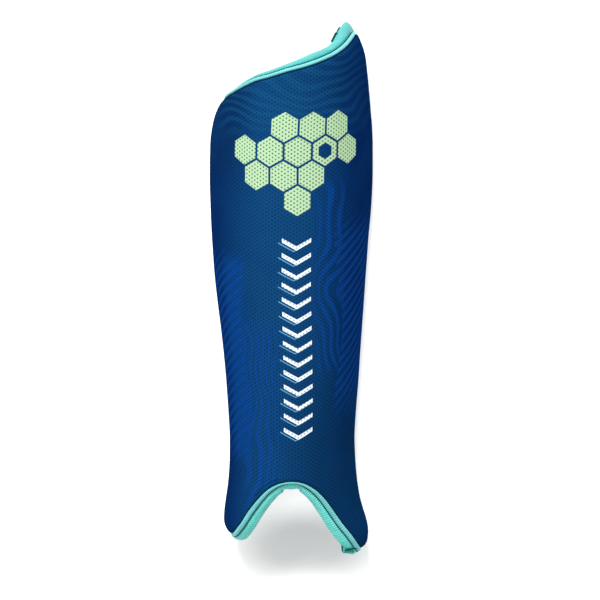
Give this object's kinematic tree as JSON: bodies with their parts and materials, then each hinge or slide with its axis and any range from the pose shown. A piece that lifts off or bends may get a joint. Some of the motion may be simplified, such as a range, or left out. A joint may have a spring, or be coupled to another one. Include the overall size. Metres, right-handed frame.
{
  "type": "field hockey shin guard",
  "caption": "Rigid half-pipe shin guard with a mesh-covered front, piped and padded edges, a foam lining, a slanted knee end and an arched ankle end.",
  "frame": {"origin": "centre of the guard's footprint on the surface that it lies on, with the open side down", "axes": "+Y along the guard from the ankle end to the knee end, +Z out of the front of the shin, +X to the right of someone who looks at the front with the knee end up"},
  "size_m": [0.1054, 0.3396, 0.075],
  "materials": {
    "cover_mesh": "fine printed mesh over a moulded shell, dark blue with tonal strokes",
    "edge_tape": "ribbed knitted tape, light teal",
    "rim_tape": "ribbed knitted tape over foam, teal",
    "lining": "dark brushed lining over perforated foam"
  },
  "bodies": {
    "root": {"front_cover": "cover_mesh", "edge_piping": "edge_tape", "padded_rim": "rim_tape", "foam_pad": "lining"}
  },
  "joints": []
}
